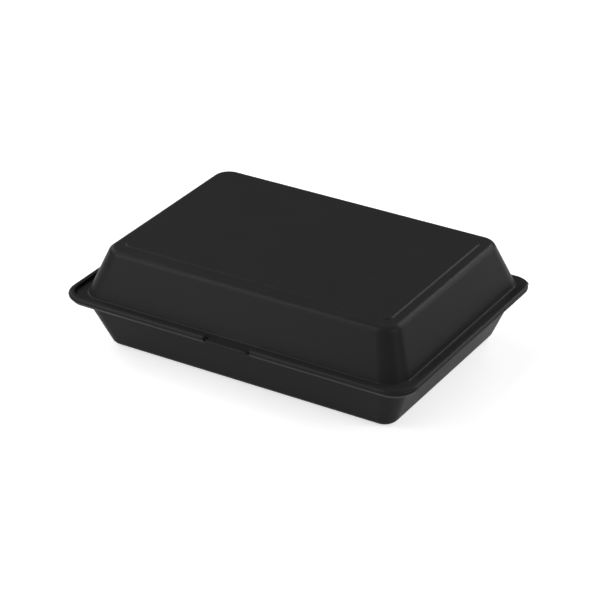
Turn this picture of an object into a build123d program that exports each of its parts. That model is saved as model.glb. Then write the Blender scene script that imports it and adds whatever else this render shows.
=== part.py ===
from build123d import *
import math
import os

# A hinged meal box moulded in black polypropylene, drawn closed, in millimetres.
# X runs along the hinge, Y from the finger notch at the front to the hinge at the back, Z is up.
# The origin is on the table, under the middle of the closed box.

# Mouth of the tray, the clear opening at the height of the seat that the lid rests on
mouth_length = 222.0
mouth_width = 157.1
mouth_radius = 12.0
seat_height = 34.8

# Tray
tray_wall = 1.6
tray_draft = 21.5
tray_bottom_radius = 8.8
tray_bottom_round = 5.6
tray_inside_chamfer = 2.4
mouth_edge_chamfer = 0.5
recess_clearance = 1.0
recess_depth = 0.8

# Rim of the tray, with a raised lip that the lid's flange nests inside
rim_width = 9.0
rim_back_width = 2.4
rim_radius = 15.0
rim_thickness = 1.5
lip_width = 3.6
lip_rise = 2.1
lip_drop = 0.5
lip_draft = 40.0
lip_top_round = 1.8
lip_bottom_chamfer = 0.3

# Finger notch in the middle of the front rim
notch_width = 31.0
notch_depth = 6.5
notch_corner = 2.5
notch_flare = 2.0

# Lid
lid_wall = 1.5
lid_draft = 21.0
lid_height = 29.2
lid_foot_radius = 14.1
lid_top_radius = 11.0
lid_top_round = 4.4
lid_inside_chamfer = 1.8
lid_foot_round = 1.0
flange_thickness = 1.2
flange_edge_chamfer = 0.4
parting_gap = 0.3

# Raised panel on the lid, set in from the outline of the mouth; the recess under a stacked box sits over it
panel_end_inset = 18.5
panel_side_inset = 20.75
panel_radius = 4.5
panel_height = 0.6
panel_edge_width = 0.9

# Living hinge, a thin web bent double behind the closed box, short of the ends of the mouth
web_end_inset = 16.0
web_thickness = 0.4
web_bend_radius = 0.6
web_flat = 1.06

# Heights and edges that follow from the sizes above, measured from the middle of the mouth
flange_top = seat_height + flange_thickness
rim_top = flange_top + lip_rise
rim_underside = seat_height - rim_thickness
lip_bottom = rim_underside - lip_drop
lid_shoulder = flange_top + lid_height
rim_front = mouth_width / 2 + rim_width
rim_back = mouth_width / 2 + rim_back_width
rim_side = mouth_length / 2 + rim_width
panel_length = mouth_length - 2 * panel_end_inset
panel_width = mouth_width - 2 * panel_side_inset
web_length = mouth_length - 2 * web_end_inset
web_reach = web_flat + web_bend_radius + web_thickness / 2
lip_lean = math.radians(lip_draft)
lip_crown = lip_top_round * ((1 + math.sin(lip_lean)) / math.cos(lip_lean) - 1)
panel_slope = math.degrees(math.atan2(panel_edge_width, panel_height))
mouth_centre_y = (rim_front - rim_back - web_reach) / 2

# Overshoot of a cut past the surface it leaves by, and the width of a search for edges
through = 20.0
touch = 0.01


def spread(thickness, draft):
    """Level distance across a wall that leans by its draft."""
    return thickness / math.cos(math.radians(draft))


def lean(height, draft):
    """How far a leaning wall moves sideways over a height."""
    return height * math.tan(math.radians(draft))


def outline(growth, radius, height):
    """Level outline of the mouth, grown sideways, with corners of a given radius."""
    return Pos(0, 0, height) * RectangleRounded(mouth_length + 2 * growth, mouth_width + 2 * growth, radius)


def between(start, end, share):
    """Value a share of the way from start to end."""
    return start + (end - start) * share


def rim_plan(inset, radius, back):
    """Plan of the rim, drawn in from its sides and front, and reaching back to a given line."""
    width = back + rim_front - inset
    middle = (back - rim_front + inset) / 2
    return Pos(0, middle) * RectangleRounded(2 * (rim_side - inset), width, radius)


def nest_plan(inset):
    """Plan inside the lip: straight sides that run out past the rounded back corners."""
    edge = lip_width + inset
    return rim_plan(edge, rim_radius - edge, rim_back + through)


def notch_plan(inset, front):
    """Plan of the finger notch from its rounded inner end out to a line past the rim."""
    width = notch_width - 2 * inset
    inner = -rim_front + notch_depth - inset
    middle = (front + inner) / 2
    return Pos(0, middle) * RectangleRounded(width, inner - front, notch_corner - inset)


def notch_flares():
    """Plan of what is cut away beside the notch to round the two ends of the lip."""
    flares = Sketch()
    for side in (-1, 1):
        corner = Pos(side * notch_width / 2, -rim_front)
        block = Pos(side * notch_flare / 2, notch_flare / 2) * Rectangle(notch_flare, notch_flare)
        flares += corner * (block - Pos(side * notch_flare, notch_flare) * Circle(notch_flare))
    return flares


def over_mouth(edge):
    """Whether both ends of an edge lie over the rectangle of the mouth."""
    within = [abs(end.X) < mouth_length / 2 + touch and abs(end.Y) < mouth_width / 2 + touch
              for end in edge.vertices()]
    return all(within)


def mouth_loop(body, height):
    """Edges of a body at a height that follow the outline of the mouth."""
    return body.edges().filter_by_position(Axis.Z, height - touch, height + touch).filter_by(over_mouth)


def walled(low, high):
    """Solid between two level outlines: flat walls on the straight runs, ruled ones round the corners."""
    walls = [low.face(), high.face()]
    for foot, head in zip(low.edges(), high.edges()):
        if foot.geom_type == GeomType.LINE:
            walls.append(Face(Wire.make_polygon([foot @ 0, foot @ 1, head @ 1, head @ 0])))
        else:
            walls.append(Face.make_surface_from_curves(foot, head))
    return Solid(Shell(walls))


def tray_block(skin, floor):
    """Block of the tray's form, inside its outer surface by skin and above the table by floor."""
    growth = spread(tray_wall - skin, tray_draft)
    reach = lean(seat_height - floor, tray_draft)
    low_radius = between(tray_bottom_radius, mouth_radius + spread(tray_wall, tray_draft), floor / seat_height)
    low = outline(growth - reach, low_radius - spread(skin, tray_draft), floor)
    high = outline(growth, mouth_radius + growth, seat_height)
    return walled(low, high)


def panel_plan(margin, level):
    """Level outline of the lid's raised panel, grown by a margin."""
    plan = RectangleRounded(panel_length + 2 * margin, panel_width + 2 * margin, panel_radius + margin)
    return Pos(0, 0, level) * plan


def make_rim():
    """Rim with its leaning, rounded lip, hollow below and open at the back where the lid swings out."""
    plan = Pos(0, 0, rim_top) * rim_plan(-lip_crown, rim_radius + lip_crown, rim_back)
    rim = extrude(plan, rim_top - lip_bottom, (0, 0, -1), taper=lip_draft)
    rim = fillet(rim.edges().group_by(Axis.Z)[-1], lip_top_round)
    rim = chamfer(rim.edges().group_by(Axis.Z)[0], lip_bottom_chamfer)
    rim -= Pos(0, 0, seat_height) * extrude(nest_plan(0), through)
    rim -= Pos(0, 0, rim_underside - through) * extrude(nest_plan(0), through)
    land_depth = rim_back - mouth_width / 2
    land_middle = rim_back - land_depth / 2
    rim += Pos(0, land_middle, seat_height - rim_thickness / 2) * Box(web_length, land_depth, rim_thickness)
    return rim


def make_tray():
    """Tapered tray with its rim, finger notch and the recess under its floor."""
    outside = tray_block(0, 0)
    inside = tray_block(tray_wall, tray_wall)
    tray = fillet(outside.edges().group_by(Axis.Z)[0], tray_bottom_round) + make_rim()
    tray -= chamfer(inside.edges().group_by(Axis.Z)[0], tray_inside_chamfer)
    tray = chamfer(mouth_loop(tray, seat_height), mouth_edge_chamfer)
    tray += extrude(panel_plan(recess_clearance + tray_wall, tray_wall), recess_depth)
    tray -= extrude(panel_plan(recess_clearance, 0), recess_depth)
    notch = notch_plan(0, -rim_front - through) + notch_flares()
    tray -= Pos(0, 0, lip_bottom) * extrude(notch, through)
    return tray


def lid_outline(skin, level):
    """Level outline of the lid at a height, inside its outer surface by skin."""
    inside = spread(skin, lid_draft)
    radius = between(lid_foot_radius, lid_top_radius, (level - flange_top) / lid_height)
    return outline(lean(flange_top - level, lid_draft) - inside, radius - inside, level)


def lid_block(skin, low):
    """Block of the lid's form, inside its outer surface by skin, from a low level to its top."""
    return walled(lid_outline(skin, low), lid_outline(skin, lid_shoulder - skin))


def make_flange():
    """Flange that nests inside the lip, with the lifting tab that fills the finger notch."""
    plan = nest_plan(parting_gap) & rim_plan(0, rim_radius, rim_back)
    plan += notch_plan(parting_gap, -rim_front)
    flange = Pos(0, 0, seat_height) * extrude(plan, flange_thickness)
    return chamfer(flange.edges().group_by(Axis.Z)[-1], flange_edge_chamfer)


def make_lid():
    """Domed lid: leaning walls, rounded shoulder, raised panel, and a flange round its foot."""
    outside = lid_block(0, flange_top)
    inside = lid_block(lid_wall, seat_height)
    lid = fillet(outside.edges().group_by(Axis.Z)[-1], lid_top_round) + make_flange()
    lid = fillet(mouth_loop(lid, flange_top), lid_foot_round)
    lid += extrude(panel_plan(0, lid_shoulder), panel_height, taper=panel_slope)
    lid -= chamfer(inside.edges().group_by(Axis.Z)[-1], lid_inside_chamfer)
    lid -= extrude(panel_plan(-lid_wall, lid_shoulder - lid_wall), panel_height)
    return lid


def make_living_hinge():
    """Thin web from the back edge of the rim, round a tight bend, to the back edge of the flange."""
    start = (rim_back, seat_height - web_bend_radius)
    bend_start = (rim_back + web_flat, seat_height - web_bend_radius)
    bend_middle = (rim_back + web_flat + web_bend_radius, seat_height)
    bend_end = (rim_back + web_flat, seat_height + web_bend_radius)
    end = (rim_back, seat_height + web_bend_radius)
    path = Line(start, bend_start) + ThreePointArc(bend_start, bend_middle, bend_end) + Line(bend_end, end)
    section = Plane.YZ * trace(path, web_thickness)
    return extrude(section, web_length / 2, both=True)


os.makedirs("parts", exist_ok=True)
in_frame = Pos(0, mouth_centre_y, 0)
export_step(in_frame * make_tray(), "parts/tray.step")
export_step(in_frame * make_lid(), "parts/lid.step")
export_step(in_frame * make_living_hinge(), "parts/living_hinge.step")
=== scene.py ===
import math

import bpy
import numpy as np
from mathutils import Matrix, Vector


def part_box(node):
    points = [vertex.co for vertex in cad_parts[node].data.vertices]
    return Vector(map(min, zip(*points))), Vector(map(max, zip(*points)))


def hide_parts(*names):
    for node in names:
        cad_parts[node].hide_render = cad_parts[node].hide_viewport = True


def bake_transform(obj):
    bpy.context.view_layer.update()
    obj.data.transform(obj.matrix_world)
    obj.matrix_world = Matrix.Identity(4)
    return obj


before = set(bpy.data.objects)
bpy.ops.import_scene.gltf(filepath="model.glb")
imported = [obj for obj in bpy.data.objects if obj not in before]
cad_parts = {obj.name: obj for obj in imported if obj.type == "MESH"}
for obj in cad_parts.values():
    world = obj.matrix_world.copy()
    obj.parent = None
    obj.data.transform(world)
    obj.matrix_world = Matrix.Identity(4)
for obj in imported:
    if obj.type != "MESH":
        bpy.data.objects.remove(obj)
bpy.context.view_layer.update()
scene = bpy.context.scene

# The tray: the lower shell of the box, injection moulded in black polypropylene with its rim,
# raised lip and finger notch in one shot. The mould is finely spark-eroded, so the skin is matt,
# with a low satin sheen where the light glances off it.


def linear(hex_colour):
    """Scene-linear RGBA of an sRGB hex colour: a dark channel is divided by 12.92, and a lighter one
    has 0.055 added, is divided by 1.055 and is raised to the power of 2.4."""
    channels = [int(hex_colour[i:i + 2], 16) / 255 for i in (1, 3, 5)]
    return [c / 12.92 if c <= 0.04045 else ((c + 0.055) / 1.055) ** 2.4 for c in channels] + [1.0]


def add_node(tree, kind, settings=(), inputs=(), links=()):
    """Adds a node, sets its properties and the values of its sockets, and links other nodes into it.
    Each link gives the socket, the node that it comes from and that node's output."""
    node = tree.nodes.new(kind)
    for name, value in dict(settings).items():
        setattr(node, name, value)
    for name, value in dict(inputs).items():
        node.inputs[name].default_value = value
    for socket, source, output in links:
        tree.links.new(source.outputs[output], node.inputs[socket])
    return node


def moulded_polypropylene(name):
    """Black polypropylene from a spark-eroded mould: matt and even. A slow noise clouds its tint and
    its gloss a little, and a fine noise pits it through the bump."""
    pit_size = 0.0007      # the eroded pits are about 0.1 mm; drawn coarser so that they show
    pit_depth = 0.00004
    cloud_size = 0.035     # slow change of gloss where the melt cooled sooner
    material = bpy.data.materials.new(name)
    material.use_nodes = True
    tree = material.node_tree
    tree.nodes.clear()
    place = add_node(tree, "ShaderNodeTexCoord")
    pits = add_node(tree, "ShaderNodeTexNoise", {"noise_dimensions": "3D"},
                    {"Scale": 1 / pit_size, "Detail": 2.0, "Roughness": 0.6},
                    [("Vector", place, "Object")])
    clouds = add_node(tree, "ShaderNodeTexNoise", {"noise_dimensions": "3D"},
                      {"Scale": 1 / cloud_size, "Detail": 3.0, "Roughness": 0.5},
                      [("Vector", place, "Object")])
    gloss = add_node(tree, "ShaderNodeMapRange", {},
                     {"From Min": 0.3, "From Max": 0.7, "To Min": 0.33, "To Max": 0.38},
                     [("Value", clouds, "Fac")])
    relief = add_node(tree, "ShaderNodeBump", {}, {"Strength": 0.12, "Distance": pit_depth},
                      [("Height", pits, "Fac")])
    tint = add_node(tree, "ShaderNodeMix", {"data_type": "RGBA"},
                    {"A": linear("#242424"), "B": linear("#272727")}, [("Factor", clouds, "Fac")])
    skin = add_node(tree, "ShaderNodeBsdfPrincipled", {}, {"IOR": 1.49, "Specular IOR Level": 0.06},
                    [("Base Color", tint, "Result"), ("Roughness", gloss, "Result"),
                     ("Normal", relief, "Normal")])
    add_node(tree, "ShaderNodeOutputMaterial", {}, {}, [("Surface", skin, "BSDF")])
    return material


black_polypropylene = moulded_polypropylene("matt moulded polypropylene")
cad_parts["tray"].data.materials.clear()
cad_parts["tray"].data.materials.append(black_polypropylene)

# The lid: the upper shell, moulded with the tray in the same shot and the same black polypropylene.
# Its thin flange nests inside the tray's lip, and its raised panel keys into the box above in a stack.

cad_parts["lid"].data.materials.clear()
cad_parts["lid"].data.materials.append(black_polypropylene)

# The living hinge: the thin web of the same moulding that joins the two shells along the back.
# It is bent double when the box is shut and lies out nearly flat when the lid is thrown open.

web_low, web_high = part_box("living_hinge")
web_thickness = 0.0004
web_bend = 0.0006          # radius of the bend, at the middle of the thickness
web_crease = math.radians(40)
web_middle = (web_low.z + web_high.z) / 2
web_start = web_low.y
web_bend_centre = web_high.y - web_thickness / 2 - web_bend


def web_surface(bend_steps, flat_steps, length_steps):
    """Closed skin of the bent web: its midline runs out level, round a half circle and back level,
    and the skin stands half the thickness to each side of it, carried straight along the hinge.
    A row of faces across the thickness closes each end."""
    flat = np.linspace(web_start, web_bend_centre, flat_steps)
    turn = np.linspace(-math.pi / 2, math.pi / 2, bend_steps)[1:-1]
    level = np.zeros(flat_steps)
    upright = np.ones(flat_steps)
    out_y = np.concatenate([level, np.cos(turn), level])
    out_z = np.concatenate([-upright, np.sin(turn), upright])
    middle_y = np.concatenate([flat, web_bend_centre + web_bend * np.cos(turn), flat[::-1]])
    middle_z = web_bend * out_z
    half = web_thickness / 2
    loop_y = np.concatenate([middle_y + half * out_y, (middle_y - half * out_y)[::-1]])
    loop_z = np.concatenate([middle_z + half * out_z, (middle_z - half * out_z)[::-1]]) + web_middle
    along = np.linspace(web_low.x, web_high.x, length_steps)
    grid_x, grid_y = np.meshgrid(along, loop_y, indexing="ij")
    grid_z = np.broadcast_to(loop_z, grid_x.shape)
    points = np.stack([grid_x, grid_y, grid_z], axis=-1).reshape(-1, 3)
    around = len(loop_y)
    row, column = np.meshgrid(np.arange(length_steps - 1), np.arange(around), indexing="ij")
    following = (column + 1) % around
    sides = np.stack([row * around + column, row * around + following,
                      (row + 1) * around + following, (row + 1) * around + column], axis=-1)
    strip = np.arange(around // 2 - 1)
    near_end = np.stack([strip, around - 1 - strip, around - 2 - strip, strip + 1], axis=-1)
    far_end = near_end[:, ::-1] + (length_steps - 1) * around
    return points, np.concatenate([sides.reshape(-1, 4), near_end, far_end])


web_points, web_faces = web_surface(bend_steps=13, flat_steps=4, length_steps=39)
web_mesh = bpy.data.meshes.new("hinge_web")
web_mesh.from_pydata(web_points.tolist(), [], web_faces.tolist())
web_mesh.materials.append(black_polypropylene)
web_mesh.set_sharp_from_angle(angle=web_crease)
web_mesh.shade_smooth()
hinge_web = bpy.data.objects.new("hinge_web", web_mesh)
scene.collection.objects.link(hinge_web)
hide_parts("living_hinge")
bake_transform(hinge_web)

# The studio: a plain pale floor that runs out past the picture, seven soft boxes round the meal box
# and a dim grey room. The soft boxes at the back and the front left draw the bright lines on the lid's
# rounded shoulder.

floor_reach = 6.0
floor_drop = 0.0002        # keeps the paper just clear of the tray's foot
floor_corners = [(x * floor_reach, y * floor_reach, -floor_drop)
                 for x, y in ((-1, -1), (1, -1), (1, 1), (-1, 1))]
floor_mesh = bpy.data.meshes.new("floor")
floor_mesh.from_pydata(floor_corners, [], [(0, 1, 2, 3)])
floor = bpy.data.objects.new("floor", floor_mesh)
scene.collection.objects.link(floor)
floor_glow = 0.62          # what the paper adds for the eye; its shadows keep the rest
floor_gleam = 0.3          # what it adds in reflections
paper = bpy.data.materials.new("white studio paper")
paper.use_nodes = True
paper_tree = paper.node_tree
paper_tree.nodes.clear()
ray = add_node(paper_tree, "ShaderNodeLightPath")
mirrored = add_node(paper_tree, "ShaderNodeMath", {"operation": "MAXIMUM"}, {},
                    [(0, ray, "Is Glossy Ray"), (1, ray, "Is Transmission Ray")])
gleam = add_node(paper_tree, "ShaderNodeMath", {"operation": "MULTIPLY"}, {1: floor_gleam},
                 [(0, mirrored, "Value")])
glow_strength = add_node(paper_tree, "ShaderNodeMath", {"operation": "MULTIPLY_ADD"}, {1: floor_glow},
                         [(0, ray, "Is Camera Ray"), (2, gleam, "Value")])
sheet = add_node(paper_tree, "ShaderNodeBsdfDiffuse", {}, {"Color": linear("#d0d0d0")})
glow = add_node(paper_tree, "ShaderNodeEmission", {}, {"Color": linear("#ffffff")},
                [("Strength", glow_strength, "Value")])
paper_surface = add_node(paper_tree, "ShaderNodeAddShader", {}, {},
                         [(0, sheet, "BSDF"), (1, glow, "Emission")])
add_node(paper_tree, "ShaderNodeOutputMaterial", {}, {}, [("Surface", paper_surface, "Shader")])
floor_mesh.materials.append(paper)

room_strength = 0.11
room = bpy.data.worlds.new("grey studio")
room.use_nodes = True
room_light = room.node_tree.nodes["Background"]
room_light.inputs["Color"].default_value = linear("#ffffff")
room_light.inputs["Strength"].default_value = room_strength
scene.world = room

lamp_distance = 1.6
box_middle = Vector((0, 0, 0.03))


def soft_lamp(name, turn, rise, width, height, power):
    """Soft box that faces the middle of the meal box from a fixed distance. Its turn about the vertical
    goes from the right towards the back, and its rise is above the level, both in degrees."""
    turned = math.radians(turn)
    raised = math.radians(rise)
    away = Vector((math.cos(raised) * math.cos(turned), math.cos(raised) * math.sin(turned),
                   math.sin(raised)))
    lamp = bpy.data.lights.new(name, "AREA")
    lamp.shape = "RECTANGLE"
    lamp.size = width
    lamp.size_y = height
    lamp.energy = power
    holder = bpy.data.objects.new(name, lamp)
    holder.location = box_middle + lamp_distance * away
    holder.rotation_euler = (-away).to_track_quat("-Z", "Y").to_euler()
    scene.collection.objects.link(holder)


soft_lamp("left", turn=180, rise=45, width=0.7, height=0.7, power=5.0)
soft_lamp("front_left_low", turn=-120, rise=14, width=0.7, height=0.7, power=4.8)
soft_lamp("front_left_strip", turn=-133, rise=41, width=0.5, height=1.2, power=13.2)
soft_lamp("right", turn=0, rise=32, width=0.7, height=0.7, power=9.0)
soft_lamp("right_back", turn=57, rise=14, width=0.7, height=0.7, power=5.0)
soft_lamp("back", turn=73, rise=35, width=1.0, height=0.45, power=8.8)
soft_lamp("back_left", turn=155, rise=25, width=0.7, height=0.7, power=3.2)

# The camera: a long lens at the photograph's viewing angle, from the front and the right, looking down.
# It stands a little aside of the line to the middle of the box, which puts the box where the photograph
# has it in the picture.

view_turn = math.radians(31.098)
view_rise = math.radians(28.271)
view_distance = 1.509186
view_aside = -0.001554     # to the camera's right
view_lift = 0.023587       # to the top of the picture
under_mouth = Vector((0, 0.00237, 0))      # on the table, below the middle of the tray's mouth
focal_pixels = 2441.133
picture_pixels = 600
sensor = 36
towards_camera = Vector((math.sin(view_turn) * math.cos(view_rise),
                         -math.cos(view_turn) * math.cos(view_rise), math.sin(view_rise)))
to_right = Vector((math.cos(view_turn), math.sin(view_turn), 0))
upward = towards_camera.cross(to_right)
camera_data = bpy.data.cameras.new("camera")
camera_data.sensor_width = sensor
camera_data.sensor_height = sensor
camera_data.sensor_fit = "HORIZONTAL"
camera_data.lens = sensor * focal_pixels / picture_pixels
camera_data.clip_start = 0.05
camera = bpy.data.objects.new("camera", camera_data)
spot = under_mouth + view_aside * to_right + view_lift * upward + view_distance * towards_camera
axes = Matrix((to_right, upward, towards_camera)).transposed().to_4x4()
camera.matrix_world = Matrix.Translation(spot) @ axes
scene.collection.objects.link(camera)
scene.camera = camera
scene.view_settings.view_transform = "Standard"
